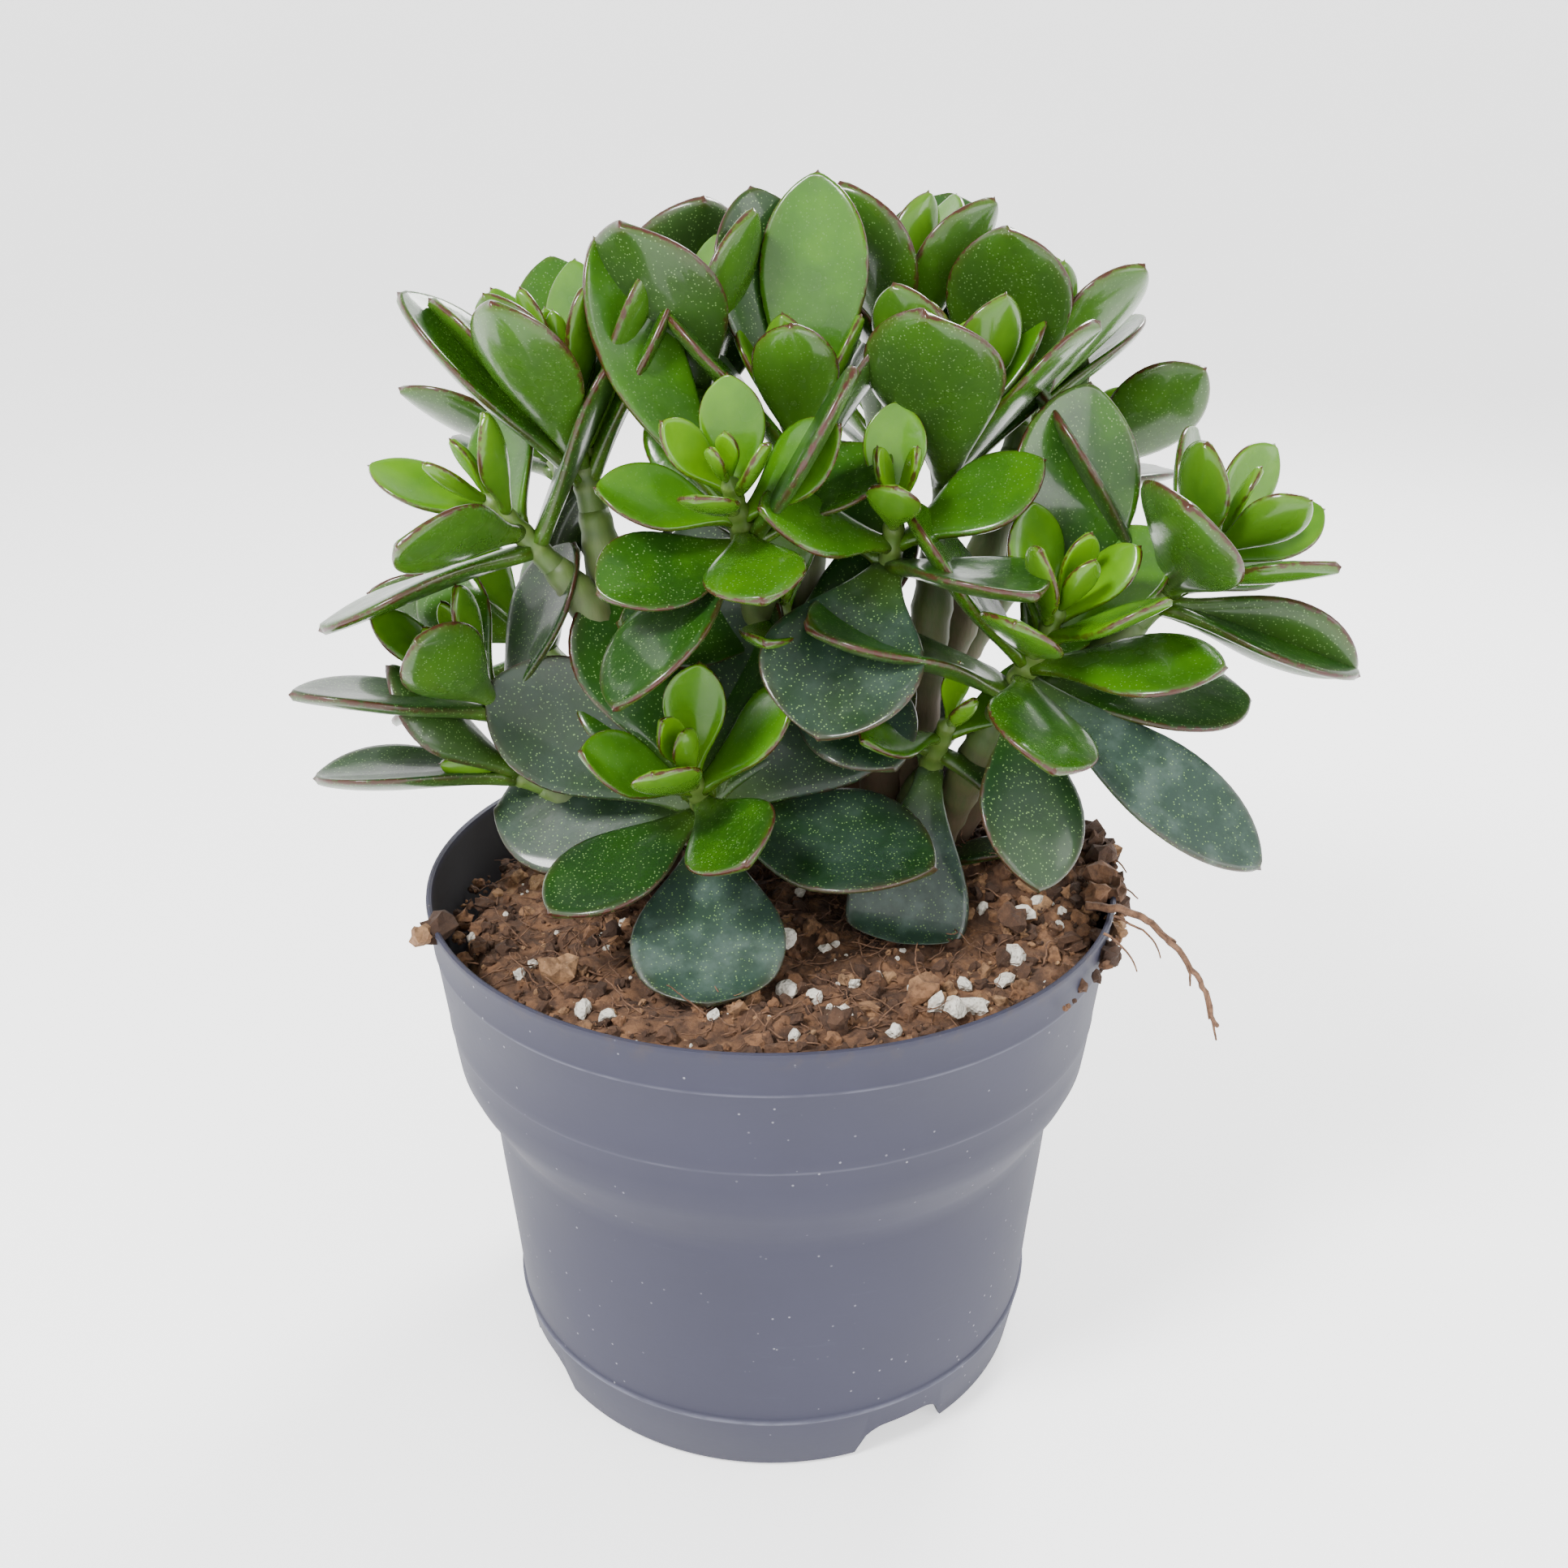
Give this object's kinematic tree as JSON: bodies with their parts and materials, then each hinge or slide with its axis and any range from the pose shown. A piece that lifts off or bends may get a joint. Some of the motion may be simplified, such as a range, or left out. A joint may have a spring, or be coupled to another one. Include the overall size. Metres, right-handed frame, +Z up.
{
  "type": "potted jade plant",
  "caption": "Succulent shrub of several upright cuttings with thick spoon-shaped leaves in opposite pairs, rooted in gritty soil in a round tapered plastic nursery pot.",
  "frame": {"origin": "centre of the flat foot under the pot, on the surface the pot stands on", "axes": "+Z up along the pot's axis; -Y is the plant's front; +X to the right as seen from the front"},
  "size_m": [0.1995, 0.1821, 0.241],
  "materials": {
    "pot": "satin slate-grey polypropylene, scuffed and dusty",
    "soil": "crumbled reddish-brown peat and coir fibre",
    "stem": "corky brown bark turning green upwards",
    "leaf": "waxy succulent leaf, lime to blue-green, pale dots and a thin dark red margin",
    "perlite": "porous white expanded grains",
    "root": "dry fibrous root"
  },
  "bodies": {
    "root": {"pot": "pot", "soil": "soil", "perlite_1": "perlite", "perlite_2": "perlite", "perlite_3": "perlite", "hanging_root": "root", "stem_front": "stem", "stem_left": "stem", "stem_centre": "stem", "stem_right": "stem", "stem_back": "stem", "fallen_leaf": "leaf", "front_tip": "leaf", "front_leaves_1": "leaf", "front_leaves_2": "leaf", "upper_left_tip": "leaf", "upper_left_leaves_1": "leaf", "upper_left_leaves_2": "leaf", "left_middle_tip": "leaf", "left_middle_leaves_1": "leaf", "left_low_tip": "leaf", "left_low_leaves_1": "leaf", "left_lowest_tip": "leaf", "centre_tip": "leaf", "centre_leaves_1": "leaf", "centre_leaves_2": "leaf", "centre_low_tip": "leaf", "centre_low_leaves_1": "leaf", "centre_back_tip": "leaf", "centre_back_leaves_1": "leaf", "top_centre_tip": "leaf", "top_centre_leaves_1": "leaf", "top_back_tip": "leaf", "top_back_leaves_1": "leaf", "top_right_tip": "leaf", "top_right_leaves_1": "leaf", "top_right_leaves_2": "leaf", "right_centre_tip": "leaf", "right_centre_leaves_1": "leaf", "back_right_tip": "leaf", "back_right_leaves_1": "leaf", "right_tip": "leaf", "right_leaves_1": "leaf", "right_leaves_2": "leaf", "far_right_tip": "leaf", "far_right_leaves_1": "leaf", "far_right_leaves_2": "leaf", "low_right_tip": "leaf", "low_right_leaves_1": "leaf", "back_left_tip": "leaf", "back_left_leaves_1": "leaf", "back_top_tip": "leaf", "back_top_leaves_1": "leaf", "back_middle_tip": "leaf", "back_middle_leaves_1": "leaf", "back_far_right_tip": "leaf", "back_far_right_leaves_1": "leaf", "back_low_left_tip": "leaf", "back_low_left_leaves_1": "leaf"}
  },
  "joints": []
}
